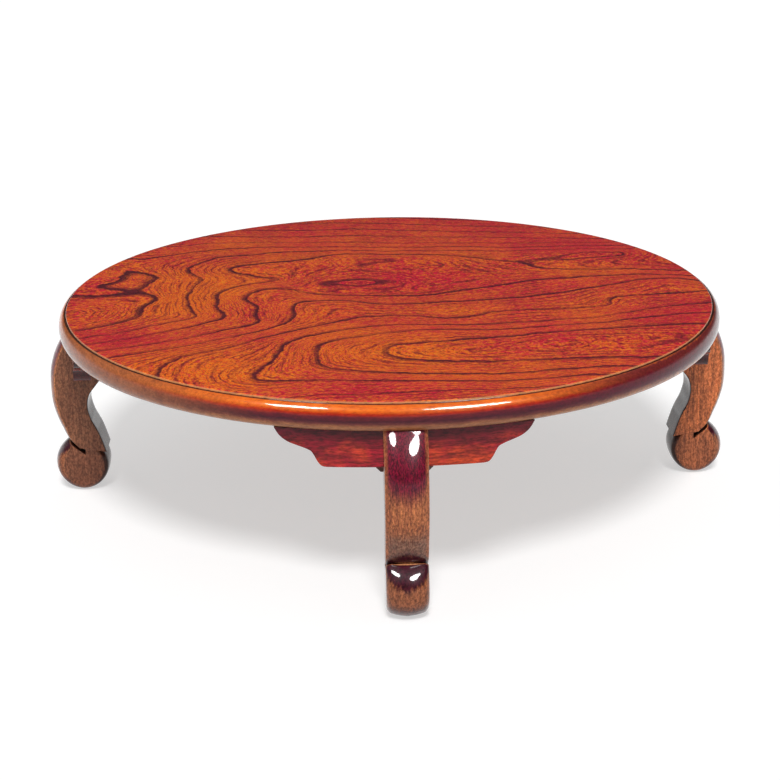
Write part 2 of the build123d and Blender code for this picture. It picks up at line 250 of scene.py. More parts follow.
floor_mesh = bpy.data.meshes.new("floor")
corners = [(x * FLOOR_REACH, y * FLOOR_REACH, 0.0) for x, y in ((-1, -1), (1, -1), (1, 1), (-1, 1))]
floor_mesh.from_pydata(corners, [], [(0, 1, 2, 3)])
floor = placed("floor", floor_mesh)

floor_material = bpy.data.materials.new("white_floor")
floor_material.use_nodes = True
tree = floor_material.node_tree
tree.nodes.clear()
path = add(tree, "ShaderNodeLightPath").outputs
mirrored = calc(tree, "MAXIMUM", path["Is Glossy Ray"], path["Is Transmission Ray"])
seen = calc(tree, "MAXIMUM", path["Is Camera Ray"], mirrored)
bounce = add(tree, "ShaderNodeBsdfDiffuse", {"Color": FLOOR_BOUNCE}).outputs[0]
paint = add(tree, "ShaderNodeBsdfDiffuse", {"Color": (FLOOR_SHARE,) * 3 + (1.0,)}).outputs[0]
glow = add(tree, "ShaderNodeEmission", {"Strength": FLOOR_GLOW}).outputs[0]
shown = add(tree, "ShaderNodeAddShader", {0: paint, 1: glow}).outputs[0]
either = add(tree, "ShaderNodeMixShader", {0: seen, 1: bounce, 2: shown}).outputs[0]
add(tree, "ShaderNodeOutputMaterial", {"Surface": either})
floor_mesh.materials.append(floor_material)
print("floor (m each way):", 2 * FLOOR_REACH)

# %% Key light
KEY_HEIGHT = math.radians(53.0)
KEY_STRENGTH = 2.5
KEY_SPREAD = math.radians(15.0)

key_data = bpy.data.lights.new("key_light", "SUN")
key_data.energy = KEY_STRENGTH
key_data.angle = KEY_SPREAD
key_light = placed("key_light", key_data)
key_light.rotation_mode = "QUATERNION"
key_from = Vector((0.0, -math.cos(KEY_HEIGHT), math.sin(KEY_HEIGHT)))
key_light.rotation_quaternion = key_from.to_track_quat("Z", "Y")
key_light.visible_glossy = False
print("key light on a level face:", round(KEY_STRENGTH * math.sin(KEY_HEIGHT) / math.pi, 2))

# %% Soft boxes
AIM = Vector((0.0, -0.60, 0.30))
LAMP_DISTANCE = 3.0
RADIANCE = 60.0
SOFT_BOXES = {
    # azimuth and elevation seen from the front of the table, in degrees, then width and height
    "soft_box_left": (-43.0, 45.0, 1.00, 0.90),
    "soft_box_right": (29.0, 40.0, 1.50, 0.95),
}

for name, (azimuth, elevation, width, height) in SOFT_BOXES.items():
    turn = math.radians(azimuth)
    rise = math.radians(elevation)
    toward = Vector((math.sin(turn) * math.cos(rise), -math.cos(turn) * math.cos(rise), math.sin(rise)))
    data = bpy.data.lights.new(name, "AREA")
    data.shape = "ELLIPSE"
    data.size = width
    data.size_y = height
    data.energy = RADIANCE * math.pi * width * height
    lamp = placed(name, data)
    lamp.location = AIM + toward * LAMP_DISTANCE
    lamp.rotation_mode = "QUATERNION"
    lamp.rotation_quaternion = toward.to_track_quat("Z", "Y")
    lamp.visible_camera = False
    lamp.visible_diffuse = False
    print(name, "energy (W):", round(data.energy, 1))

# %% World
EVEN_LIGHT = 0.42         # what lights the table
CEILING = 0.80            # the rest is what its gloss mirrors, besides the soft boxes
LEFT_WALL = 0.40
SWEEP = 0.60              # bright band low down, where the studio's floor curves up
DARKEST = 0.04

world = bpy.data.worlds.new("studio")
bpy.context.scene.world = world
world.use_nodes = True
tree = world.node_tree
tree.nodes.clear()
compass = xyz(tree, add(tree, "ShaderNodeTexCoord").outputs["Generated"])
overhead = calc(tree, "POWER", calc(tree, "MAXIMUM", compass["Z"], 0.0), 3.0)
to_left = ease(tree, compass["X"], -0.45, -0.85)
low_down = ease(tree, compass["Z"], 0.14, 0.02)
room = calc(tree, "MULTIPLY_ADD", overhead, CEILING, DARKEST)
room = calc(tree, "MULTIPLY_ADD", to_left, LEFT_WALL, room)
room = calc(tree, "MULTIPLY_ADD", low_down, SWEEP, room)
path = add(tree, "ShaderNodeLightPath").outputs
strength = add(tree, "ShaderNodeMix", {0: path["Is Glossy Ray"], 2: EVEN_LIGHT, 3: room}).outputs[0]
room_light = add(tree, "ShaderNodeBackground", {"Strength": strength}).outputs[0]
plain_white = add(tree, "ShaderNodeBackground", {"Strength": 1.0}).outputs[0]
inputs = {0: path["Is Camera Ray"], 1: room_light, 2: plain_white}
both = add(tree, "ShaderNodeMixShader", inputs).outputs[0]
add(tree, "ShaderNodeOutputWorld", {"Surface": both})
print("world nodes:", len(tree.nodes))

# %% [markdown]
# ## Directions of the wood
#
# The four legs, and the four pieces of the rim, are one shape turned to four places,
# and the grain turns with each.  Four materials would do it, but one material can
# find out by itself which quarter of the table it is in: the angle round the table is
# rounded to whole quarters, and the coordinates are turned back by that much.  Then
# x points away from the table's middle, y along the edge and z up, on every side.

# %% Coordinates turned back to the first side
QUARTER = math.pi / 2
NEXT_PIECE = 3.7          # metres the pattern moves on for each quarter, to another piece of wood


def own_side(tree):
    """Place and normal in the directions of the side, and the place on its own piece of wood."""
    coordinates = add(tree, "ShaderNodeTexCoord").outputs
    split = xyz(tree, coordinates["Object"])
    angle = calc(tree, "ARCTAN2", split["Y"], split["X"])
    quarter = calc(tree, "ROUND", calc(tree, "DIVIDE", angle, QUARTER))
    turn = times(tree, quarter, -QUARTER)
    turned = []
    for output in ("Object", "Normal"):
        inputs = {"Vector": coordinates[output], "Angle": turn}
        turned.append(add(tree, "ShaderNodeVectorRotate", inputs, rotation_type="Z_AXIS").outputs[0])
    side, outward = turned
    step = times(tree, calc(tree, "ABSOLUTE", quarter), NEXT_PIECE)
    steps = add(tree, "ShaderNodeCombineXYZ", {0: step, 1: step, 2: step}).outputs[0]
    piece = add(tree, "ShaderNodeVectorMath", {0: side, 1: steps}, operation="ADD").outputs[0]
    return side, outward, piece


# %% [markdown]
# ## The figure of the top
#
# The face is a veneer of zelkova, cut so that the growth rings come out as long
# curves, tongues and eyes.  A wood texture made of noise never gives one certain
# figure.  So a few growth rings are drawn, as a cabinet maker would sketch them, and
# each gets a number: how many rings it lies in.  A thin elastic plate bent through all
# these heights gives every point of the top its ring number.  The shader then only has
# to draw a line wherever that number is whole.

# %% Drawn growth rings, in millimetres from the middle of the top
GROWTH_RINGS = [
    # ring number, weight of the line, points
    (0, 1.0, (50, 466), (100, 455), (150, 445), (200, 438), (250, 433), (300, 425), (350, 413), (400, 408)),
    (1, 0.9, (-360, 455), (-300, 445), (-250, 437), (-200, 433), (-150, 430), (-100, 433), (-50, 432),
     (0, 420), (50, 410), (100, 405), (200, 397), (250, 385), (300, 378), (400, 368), (450, 362)),
    (2, 0.5, (-443, 377), (-400, 377), (-367, 392), (-300, 397), (-250, 393), (-200, 388), (-150, 385)),
    (2, 0.6, (50, 360), (150, 352), (250, 343), (300, 340), (400, 335), (450, 330)),
    (3, 0.9, (-500, 290), (-477, 283), (-450, 293), (-427, 300), (-400, 317), (-367, 332), (-323, 345),
     (-283, 347), (-240, 353), (-200, 352), (-150, 347), (-100, 345), (0, 332), (50, 328), (100, 325),
     (200, 317), (250, 310), (300, 307), (400, 305), (500, 305)),
    (4, 0.8, (500, 272), (400, 282), (300, 285), (250, 280), (200, 287), (100, 295), (50, 298), (0, 302)),
    (4, 1.1, (-100, 313), (-150, 312), (-200, 308), (-250, 300), (-283, 290), (-307, 287), (-327, 278),
     (-340, 263), (-353, 247), (-367, 227), (-380, 207), (-380, 190), (-370, 163), (-353, 140),
     (-350, 117), (-357, 93), (-363, 67), (-367, 33), (-370, 0), (-365, -33), (-362, -60), (-353, -83),
     (-343, -110), (-352, -130), (-370, -140), (-400, -153), (-420, -167), (-450, -188), (-483, -207),
     (-517, -220), (-533, -227)),
    (5, 1.2, (187, 225), (170, 240), (140, 255), (100, 265), (50, 272), (-25, 282), (-75, 287), (-100, 280),
     (-117, 270), (-140, 255), (-170, 243), (-200, 237), (-233, 232), (-267, 217), (-283, 207),
     (-307, 197), (-298, 183), (-283, 167), (-253, 147), (-240, 130), (-217, 117), (-200, 110),
     (-217, 100), (-250, 87), (-283, 67), (-307, 43), (-315, 27), (-313, 0), (-310, -27), (-313, -53),
     (-307, -80), (-297, -93), (-295, -113), (-303, -137), (-320, -153), (-350, -173), (-373, -192),
     (-400, -205), (-440, -230), (-473, -243), (-503, -255), (-527, -260)),
    (5, 1.0, (225, 212), (245, 202), (267, 192), (280, 167), (300, 147), (350, 137), (400, 130),
     (475, 127), (525, 117), (575, 107)),
    (6, 1.2, (575, 67), (500, 85), (450, 90), (400, 85), (350, 77), (300, 70), (250, 55), (200, 32),
     (160, 17), (130, 5), (100, -10), (50, -20), (0, -17), (-50, -10), (-100, -7), (-127, 3), (-150, 17),
     (-173, 33), (-200, 47), (-220, 53), (-233, 43), (-250, 27), (-260, 10), (-262, -7), (-253, -33),
     (-240, -57), (-238, -83), (-240, -110), (-233, -137), (-235, -160), (-257, -180), (-290, -197),
     (-317, -217), (-350, -240), (-383, -252), (-413, -268), (-450, -282), (-483, -293), (-497, -300)),
    (7, 1.2, (550, 55), (500, 60), (450, 42), (425, 27), (390, 12), (360, 0), (320, -23), (275, -33),
     (240, -48), (200, -52), (150, -60), (100, -63), (50, -70), (0, -70), (-35, -62), (-55, -52),
     (-70, -40), (-110, -37), (-140, -38), (-163, -42), (-172, -60), (-173, -83), (-172, -100),
     (-173, -127), (-178, -150), (-187, -173), (-217, -200), (-250, -222), (-283, -243), (-313, -262),
     (-350, -283), (-383, -295), (-413, -312), (-450, -325), (-467, -332)),
    (8, 1.2, (585, -33), (550, -40), (500, -45), (450, -50), (410, -57), (395, -75), (397, -95),
     (400, -105), (350, -117), (300, -125), (250, -122), (210, -125), (170, -135), (145, -155), (110, -165),
     (80, -160), (50, -147), (0, -140), (-50, -142), (-85, -162), (-120, -185), (-150, -200),
     (-200, -230), (-233, -257), (-260, -283), (-300, -310), (-333, -327), (-353, -340), (-370, -360),
     (-383, -393), (-387, -430)),
    (8, 0.8, (-150, -547), (-50, -545), (50, -540), (150, -540)),
    (9, 1.3, (350, -180), (300, -187), (250, -195), (200, -202), (150, -205), (100, -203), (50, -197),
     (0, -195), (-50, -203), (-85, -215), (-120, -230), (-150, -250), (-163, -263), (-183, -283),
     (-190, -303), (-198, -333), (-200, -360), (-210, -390), (-227, -423), (-232, -443), (-227, -467),
     (-200, -473), (-150, -473), (-100, -477), (-50, -482), (0, -487), (50, -490), (100, -497),
     (150, -502), (200, -497), (250, -490), (290, -480), (325, -480)),
    (10, 1.3, (190, -237), (150, -232), (100, -230), (50, -227), (0, -235), (-50, -252), (-100, -272),
     (-125, -290), (-132, -310), (-132, -350), (-130, -390), (-115, -415), (-85, -430), (-50, -440),
     (0, -452), (50, -457), (100, -462), (150, -467), (200, -462), (250, -452), (300, -447), (350, -442)),
    (11, 1.3, (550, -230), (500, -232), (400, -240), (350, -247), (300, -252), (250, -260), (210, -272),
     (175, -280), (125, -287), (75, -295), (25, -300), (0, -305), (-15, -320), (-17, -340), (-10, -360),
     (10, -380), (50, -392), (100, -400), (160, -402), (250, -400), (350, -397), (400, -402)),
    (3, 1.8, (-585, 35), (-540, 30), (-500, 37), (-470, 45), (-450, 38), (-433, 25), (-425, 5), (-430, -20),
     (-445, -45), (-447, -90), (-450, -115), (-470, -135), (-500, -155), (-530, -175), (-540, -180)),
    (3, 1.8, (-493, 193), (-475, 190), (-455, 170), (-437, 150), (-435, 135), (-450, 110), (-455, 80),
     (-465, 50)),
    (3, 1.8, (-493, 193), (-495, 165), (-515, 155), (-500, 140), (-505, 115), (-530, 110), (-538, 95),
     (-525, 78), (-495, 68), (-485, 55)),
    (6, 1.6, (-125, 76), (-105, 86), (-75, 91), (-40, 91), (-10, 86), (5, 78), (-10, 70), (-45, 66),
     (-80, 66), (-110, 70), (-125, 76)),
    (5, 0.9, (345, 225), (355, 240), (380, 248), (400, 257), (440, 257), (470, 252), (474, 242), (470, 232),
     (430, 227), (385, 215), (360, 208), (345, 215)),
    (4.5, 0.8, (505, 275), (520, 255), (525, 235), (515, 215), (500, 205), (470, 190), (480, 180),
     (500, 170), (520, 160), (530, 148), (560, 140)),
]
EYES = [
    (6.6, -60, 78), (5.3, 410, 237), (2.5, -478, 150), (2.5, -500, 110), (2.2, -560, -60), (2.6, -490, -40),
    (5.45, 0, 190), (5.45, 60, 180), (5.5, 110, 150), (5.5, 60, 120), (5.5, 150, 110), (5.4, -100, 200),
    (11.4, 120, -345), (11.45, 220, -335), (11.4, 340, -325), (11.4, 450, -320),
]
SPACING = 25.0            # longest step between two points of a drawn ring
STIFFNESS = 0.0004        # how far the plate may pass by a point
TINY = 1e-12              # keeps the logarithm finite where two places meet
BATCH = 4000              # places worked out at a time, to spare memory


def drawn_points():
    """Every drawn ring as points at most SPACING apart: x, y, ring number, weight."""
    drawn = []
    for number, weight, *points in GROWTH_RINGS:
        for start, end in zip(points, points[1:]):
            steps = max(1, math.ceil(math.dist(start, end) / SPACING))
            for step in range(steps):
                share = step / steps
                drawn.append([a + (b - a) * share for a, b in zip(start, end)] + [number, weight])
        drawn.append([*points[-1], number, weight])
    drawn += [[x, y, number, 1.0] for number, x, y in EYES]
    return np.array(drawn, float)


def square_distances(first, second):
    """Squared distance between each first place and each second place."""
    return ((first[:, None, :] - second[None, :, :]) ** 2).sum(axis=2)


def bend(first, second):
    """How a push at each second place bends the plate at each first place."""
    square = square_distances(first, second)
    return 0.5 * square * np.log(square + TINY)


def in_batches(work, places):
    """What the work gives for all the places, done a batch at a time."""
    batches = np.array_split(places, max(1, len(places) // BATCH))
    return np.concatenate([work(batch) for batch in batches])


drawn = drawn_points()
ring_places = drawn[:, :2] / 1000.0
ring_numbers = drawn[:, 2]
ring_weights = drawn[:, 3]
count = len(ring_places)
flat = np.column_stack([np.ones(count), ring_places])
system = np.zeros((count + 3, count + 3))
system[:count, :count] = bend(ring_places, ring_places) + STIFFNESS * np.eye(count)
system[:count, count:] = flat
system[count:, :count] = flat.T
plate = np.linalg.solve(system, np.append(ring_numbers, np.zeros(3)))


def ring_number(places):
    """The plate's height at each place."""
    def height(batch):
        return bend(batch, ring_places) @ plate[:count] + plate[count] + batch @ plate[count + 1:]
    return in_batches(height, places)


missed = np.abs(ring_number(ring_places) - ring_numbers)
print("points drawn:", count, " largest miss (rings):", round(float(missed.max()), 3))

# %% [markdown]
# ## The top panel
#
# The panel is a disc 6 mm thick with a small rounded lip.  A cylinder would have the
# shape, but only its edge would have points to carry the ring numbers.  So the disc is
# spun from many fine rings of points, and each point stores four numbers for the
# shader: the ring number, the distance between rings, the weight of the drawn lines
# close by, and how orange or crimson the stain is there.

# %% Top panel
PANEL_RADIUS = 0.586
PANEL_TOP = 0.361
PANEL_BOTTOM = 0.355
LIP = 0.002
LIP_STEPS = 4
AROUND = 480
FACE_RINGS = 96
LINE_REACH = 0.006        # metres from a drawn line within which its weight counts most
NUDGE = 0.0005            # metres between two places, to find how steep the plate is
RINGS_PER_METRE = (6.0, 90.0)      # fewest and most that the shader is told of

# large soft patches of the stain, in mm: middle x, y, half widths, and orange (+) or crimson (-)
STAIN = [
    (-380, 0, 110, 150, 0.9), (-290, 140, 90, 130, 0.8), (-310, -440, 120, 70, 1.0),
    (-20, -350, 240, 80, 0.7), (125, -130, 90, 50, 0.5), (350, 115, 110, 45, 0.6),
    (-200, 400, 200, 60, 0.3), (60, 85, 260, 90, -0.5), (350, -350, 170, 110, -0.4),
    (0, 480, 420, 90, -0.6), (-450, -245, 90, 50, -0.5), (0, -540, 180, 50, -0.5),
    (515, -150, 110, 100, -0.5), (420, 330, 130, 90, -0.3),
]


def stain_at(places):
    """Sum of the soft patches: 0 is the middle tone."""
    total = np.zeros(len(places))
    for x, y, half_x, half_y, amount in STAIN:
        away = ((places[:, 0] * 1000 - x) / half_x) ** 2 + ((places[:, 1] * 1000 - y) / half_y) ** 2
        total += amount * np.exp(-away)
    return total


def line_weight_at(places):
    """Weight of the drawn lines close by, the nearest counting most."""
    def weight(batch):
        pull = 1.0 / (square_distances(batch, ring_places) + LINE_REACH ** 2) ** 2
        return (pull * ring_weights).sum(axis=1) / pull.sum(axis=1)
    return in_batches(weight, places)


def panel_profile():
    """Radius and height from the middle of the face, over the lip, to the lower edge."""
    face = [((PANEL_RADIUS - LIP) * step / FACE_RINGS, PANEL_TOP) for step in range(1, FACE_RINGS + 1)]
    lip = []
    for step in range(1, LIP_STEPS + 1):
        turn = QUARTER * step / LIP_STEPS
        lip.append((PANEL_RADIUS - LIP + LIP * math.sin(turn), PANEL_TOP - LIP + LIP * math.cos(turn)))
    return face + lip + [(PANEL_RADIUS, PANEL_BOTTOM)]


def smooth(mesh, degrees=35.0):
    """Smooth shading that keeps edges sharper than the given angle."""
    mesh.shade_smooth()
    mesh.set_sharp_from_angle(angle=math.radians(degrees))


profile = panel_profile()
vertices = [(0.0, 0.0, PANEL_TOP)]
for radius, z in profile:
    for step in range(AROUND):
        angle = 2 * math.pi * step / AROUND
        vertices.append((radius * math.cos(angle), radius * math.sin(angle), z))
faces = [(0, 1 + step, 1 + (step + 1) % AROUND) for step in range(AROUND)]
for row in range(len(profile) - 1):
    start = 1 + row * AROUND
    for step in range(AROUND):
        after = (step + 1) % AROUND
        faces.append((start + step, start + AROUND + step, start + AROUND + after, start + after))
last = 1 + (len(profile) - 1) * AROUND
faces.append(tuple(last + step for step in reversed(range(AROUND))))
panel_mesh = bpy.data.meshes.new("veneered_panel")
panel_mesh.from_pydata(vertices, [], faces)
smooth(panel_mesh)

spots = np.array(vertices)[:, :2]
here = ring_number(spots)
slope_x = (ring_number(spots + (NUDGE, 0.0)) - here) / NUDGE
slope_y = (ring_number(spots + (0.0, NUDGE)) - here) / NUDGE
spacing = 1.0 / np.hypot(slope_x, slope_y).clip(*RINGS_PER_METRE)
stored = {"ring": here, "spacing": spacing, "weight": line_weight_at(spots), "stain": stain_at(spots)}
for name, values in stored.items():
    panel_mesh.attributes.new(name, "FLOAT", "POINT").data.foreach_set("value", values.astype(np.float32))
panel = placed("veneered_panel", panel_mesh)
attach(panel, "tabletop")
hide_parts("top_panel")
print("panel points:", len(vertices), " distance between rings (mm):",
      round(float(spacing.min()) * 1000, 1), "to", round(float(spacing.max()) * 1000, 1))

# the flat top would mirror a whole soft box at a viewer behind the table, so they leave it out
left_out = bpy.data.collections.new("not_lit_by_soft_boxes")
left_out.objects.link(panel)
left_out.collection_objects[0].light_linking.link_state = "EXCLUDE"
for lamp_name in SOFT_BOXES:
    bpy.data.objects[lamp_name].light_linking.receiver_collection = left_out

# %% [markdown]
# ## The finish of the top
#
# Late wood shows as a dark line with one crisp and one soft side, fine rings lie
# between, and short pores run along them.  A streak that follows the rings comes from
# noise that is quick across the ring number and slow along x and y.  Over all of it
# lies a thick clear lacquer, which is the shader's coat.

# %% Veneer
UNDER_LACQUER = 0.05      # the wood itself hardly shines, as the lacquer wets it

veneer, tree, shader = finish("top_veneer", Coat_Weight=1.0, Coat_Roughness=0.06, Coat_IOR=1.4,
                              Specular_IOR_Level=UNDER_LACQUER)
place = object_place(tree)
split = xyz(tree, place)
stored_at = {}
for name in stored:
    stored_at[name] = add(tree, "ShaderNodeAttribute", attribute_name=name).outputs["Fac"]
gap = stored_at["spacing"]

drift = centred(tree, noise(tree, place, 24.0, 3.0))
ripple = centred(tree, noise(tree, place, 85.0, 3.0))
metres = calc(tree, "MULTIPLY_ADD", drift, 0.014, times(tree, ripple, 0.008))
ring = calc(tree, "ADD", stored_at["ring"], calc(tree, "DIVIDE", metres, gap))

beside = calc(tree, "SUBTRACT", ring, calc(tree, "ROUND", ring))
# where the cut runs flat through the rings, they and their dark late wood come out wide
cut_width = times(tree, stored_at["weight"], ease(tree, gap, 0.02, 0.07, 0.8, 1.2))
away = calc(tree, "DIVIDE", times(tree, beside, gap), cut_width)
crisp_side = ease(tree, away, 0.0026, 0.0009)
soft_side = ease(tree, away, -0.0085, -0.0010)
broken = ease(tree, noise(tree, place, 7.0, 3.0), 0.30, 0.58, 0.50, 1.0)
line = times(tree, crisp_side, soft_side, broken)


def thin_rings(number, start, end):
    """Thin dark lines, this many to each drawn ring, that come and go in patches."""
    lines = calc(tree, "PINGPONG", times(tree, ring, number), 0.5)
    patches = ease(tree, noise(tree, place, 11.0 + number, 2.0), 0.35, 0.65)
    return times(tree, ease(tree, lines, 0.22, 0.03), patches, ease(tree, gap, start, end))


def along_rings(slow, quick):
    """Coordinates that change slowly along the rings and quickly across them."""
    parts = [times(tree, split["X"], slow), times(tree, split["Y"], slow), times(tree, ring, quick)]
    return add(tree, "ShaderNodeCombineXYZ", dict(enumerate(parts))).outputs[0]


fine = calc(tree, "MAXIMUM", thin_rings(5.0, 0.012, 0.035), thin_rings(13.0, 0.035, 0.070))
streaks = noise(tree, along_rings(9.0, 7.0), 1.0, 4.0, 0.6)
flecks = noise(tree, along_rings(90.0, 20.0), 1.0, 4.0, 0.75)
pores = ease(tree, noise(tree, along_rings(190.0, 60.0), 1.0, 2.0), 0.52, 0.64)

clouds = centred(tree, noise(tree, place, 5.0, 5.0))
clouds = calc(tree, "MULTIPLY_ADD", centred(tree, flecks), 5.0, times(tree, clouds, 1.5))
warmth = calc(tree, "ADD", clouds, calc(tree, "MULTIPLY_ADD", stored_at["stain"], 0.55, 0.50))
colour = layered(tree, (216, 16, 56),
                 (ease(tree, warmth, -0.1, 1.1), (255, 124, 20)),
                 (ease(tree, streaks, 0.35, 0.75, 0.0, 0.30), (188, 30, 36)),
                 (times(tree, fine, 0.85), (130, 16, 38)),
                 (times(tree, line, 0.95), (76, 8, 32)),
                 (times(tree, pores, 0.55), (116, 14, 28)))
colour = speckled(tree, along_rings(150.0, 30.0), colour, 0.55, 1.0)

# a painted highlight: a pale line round the top, where the rounded lip of the veneer catches the light
painted_lip_highlight = ease(tree, out_from_middle(tree, place), 0.5850, 0.5857, 0.0, 0.7)
colour = blend(tree, painted_lip_highlight, colour, (214, 150, 92))
dress(tree, shader, colour, streaks, 0.28, 0.42)
bump(tree, shader, pores, 0.12, 0.0004)
bump(tree, shader, noise(tree, place, 9.0, 1.0), 0.05, 0.004, "Coat Normal")
panel_mesh.materials.append(veneer)
print("veneer nodes:", len(tree.nodes))

# %% [markdown]
# ## The lacquer of the rim, legs and apron
#
# The frame is solid zelkova under lacquer, and its colour carries painted light and
# shade: orange where the light falls on the top of the rim, then red and almost black
# purple lower down its side as painted shade.  The grain runs along each piece.
# Stretching noise along the grain gives its streaks; a second, finer one gives the pores.

# %% Solid wood with streaks along one direction
def streaked(tree, place, along, width=0.004, length=0.12):
    """Broad streaks and fine pores along x, y or z."""
    def drawn_out(across, lengthwise):
        factors = [1.0 / (width * across)] * 3
        factors["xyz".index(along)] = 1.0 / (length * lengthwise)
        return scaled(tree, place, factors)

    streaks = noise(tree, drawn_out(3, 3), 1.0, 4.0, 0.62)
    pores = ease(tree, noise(tree, drawn_out(0.30, 0.25), 1.0, 2.0), 0.56, 0.72)
    return streaks, pores


def lacquer(name):
    """Material with a clear glossy coat that lies a little uneven, as brushed lacquer does."""
    material, tree, shader = finish(name, Coat_Weight=1.0, Coat_Roughness=0.05, Coat_IOR=1.3,
                                    Specular_IOR_Level=UNDER_LACQUER)
    bump(tree, shader, noise(tree, object_place(tree), 35.0, 1.0), 0.05, 0.001, "Coat Normal")
    return material, tree, shader


def dent(tree, shader, pores):
    """Lets the pores dent the wood under the lacquer."""
    bump(tree, shader, pores, 0.2, 0.0003, invert=True)


# %% Rim
RIM_LOW, RIM_HIGH = 0.314, 0.358
# painted light and shade down the rim: tan at the bottom is a painted reflection of the white floor, red
# and dark purple on its side are painted shade, orange on top is where light falls
RIM_LIGHT_AND_SHADE = (             # share of the way up the rim, and the shade there
    (0.0, (176, 118, 72)), (0.18, (170, 108, 68)), (0.32, (104, 44, 42)), (0.42, (66, 8, 30)),
    (0.58, (98, 12, 30)), (0.70, (186, 46, 20)), (0.82, (240, 112, 16)), (1.0, (236, 106, 20)),
)

_, tree, shader = lacquer("rim_lacquer")
side, _, piece = own_side(tree)
streaks, pores = streaked(tree, piece, "y")
height = xyz(tree, side)["Z"]
wander = calc(tree, "MULTIPLY_ADD", centred(tree, streaks), 0.010, height)
inputs = {"Value": wander, "From Min": RIM_LOW, "From Max": RIM_HIGH}
share_up = add(tree, "ShaderNodeMapRange", inputs).outputs[0]
shade = add(tree, "ShaderNodeValToRGB", {0: share_up})
while len(shade.color_ramp.elements) < len(RIM_LIGHT_AND_SHADE):
    shade.color_ramp.elements.new(0.5)
for element, (position, colour) in zip(shade.color_ramp.elements, RIM_LIGHT_AND_SHADE):
    element.position = position
    element.color = tint(*colour)

# the side turns tan towards one end as a painted reflection, and dark purple towards the other as painted
# shade
table_x = xyz(tree, object_place(tree))["X"]
painted_shade_purple = times(tree, ease(tree, table_x, 0.12, 0.40), ease(tree, share_up, 0.30, 0.42),
               ease(tree, share_up, 1.04, 0.94), 0.92)
painted_reflection_tan = times(tree, ease(tree, table_x, -0.20, -0.48, 0.0, 0.88), ease(tree, table_x, -0.60, -0.57))
colour = layered(tree, shade.outputs[0],
                 (painted_shade_purple, (84, 10, 34)),
                 (painted_reflection_tan, (160, 92, 52)),
                 (ease(tree, streaks, 0.40, 0.75, 0.0, 0.40), (84, 28, 18)),
                 (times(tree, pores, 0.35), (60, 22, 14)))
colour = speckled(tree, scaled(tree, side, (1.0, 0.3, 1.0)), colour, 0.22)

# painted shade darkens the fine groove beside the face panel
radius = out_from_middle(tree, side)
painted_groove_shade = times(tree, ease(tree, radius, 0.5905, 0.5890), ease(tree, height, 0.352, 0.354), 0.9)
colour = blend(tree, painted_groove_shade, colour, (26, 8, 10))
dress(tree, shader, colour, streaks, 0.28, 0.42)
dent(tree, shader, pores)
print("rim nodes:", len(tree.nodes))

# %% Legs
leg_finish, tree, shader = lacquer("leg_lacquer")
side, outward, piece = own_side(tree)
streaks, pores = streaked(tree, piece, "z", 0.0015, 0.030)
grain, _ = streaked(tree, piece, "z", 0.0006, 0.020)
at = xyz(tree, side)
facing = xyz(tree, outward)["X"]
off_middle = calc(tree, "ABSOLUTE", at["Y"])
arch = times(tree, at["Y"], at["Y"], 17.0)
level = calc(tree, "ADD", at["Z"], times(tree, centred(tree, streaks), 0.035))
over_arch = calc(tree, "SUBTRACT", level, arch)

# the flanks are plain brown, warmer on some legs than on others; faces that look in towards the table's
# middle are darker, as painted shade
table_x = xyz(tree, object_place(tree))["X"]
flank = layered(tree, (134, 86, 60),
                (ease(tree, table_x, -0.3, 0.3), (212, 118, 68)),
                (ease(tree, at["Z"], 0.110, 0.060, 0.0, 0.6), (126, 74, 52)),
                (ease(tree, streaks, 0.3, 0.7, 0.0, 0.7), (92, 48, 32)),
                # painted shade on the faces that look in towards the table's middle
                (ease(tree, facing, -0.15, -0.50), (58, 30, 22)))

# painted highlights: pale lines on the arrises and along the ridge of the toe, where their rounded edges
# catch the light
near_ridge = calc(tree, "ABSOLUTE", calc(tree, "SUBTRACT", at["Z"], 0.0955))
ridge = times(tree, ease(tree, near_ridge, 0.0018, 0.0006), ease(tree, at["X"], 0.595, 0.598))
painted_arris_highlight = ease(tree, off_middle, 0.0330, 0.0340, 0.0, 0.45)

# the front is coloured in bands: crimson at the head, orange brown, grey brown, dark over the toe; just
# above the toe a dark arch is a painted shadow
head = blend(tree, ease(tree, grain, 0.42, 0.60), (128, 14, 44), (72, 6, 34))
toe = layered(tree, (150, 88, 56),
              (ease(tree, level, 0.036, 0.018), (84, 44, 38)),
              (ease(tree, over_arch, 0.052, 0.068), (58, 10, 30)))
front = layered(tree, (184, 110, 66),
                (ease(tree, level, 0.165, 0.135), (140, 100, 78)),
                (ease(tree, grain, 0.42, 0.60, 0.0, 0.60), (104, 46, 38)),
                (ease(tree, over_arch, 0.192, 0.232), head),
                (ease(tree, off_middle, 0.0270, 0.0320, 0.0, 0.75), (168, 96, 58)),
                # painted shadow: a dark arch on the shank just above the toe, which stands in front of it
                (ease(tree, calc(tree, "ADD", level, arch), 0.128, 0.108), (56, 14, 26)),
                (ease(tree, at["Z"], 0.096, 0.092), toe),
                (ease(tree, streaks, 0.35, 0.75, 0.0, 0.45), (70, 24, 22)),
                (calc(tree, "MAXIMUM", ridge, painted_arris_highlight), (214, 148, 98)))
colour = layered(tree, flank,
                 (ease(tree, facing, 0.15, 0.45), front),
                 (times(tree, pores, 0.40), (54, 24, 18)))
colour = speckled(tree, scaled(tree, side, (1.0, 1.0, 0.6)), colour, 0.50)
dress(tree, shader, colour, streaks, 0.30, 0.45)
dent(tree, shader, pores)
print("leg nodes:", len(tree.nodes))

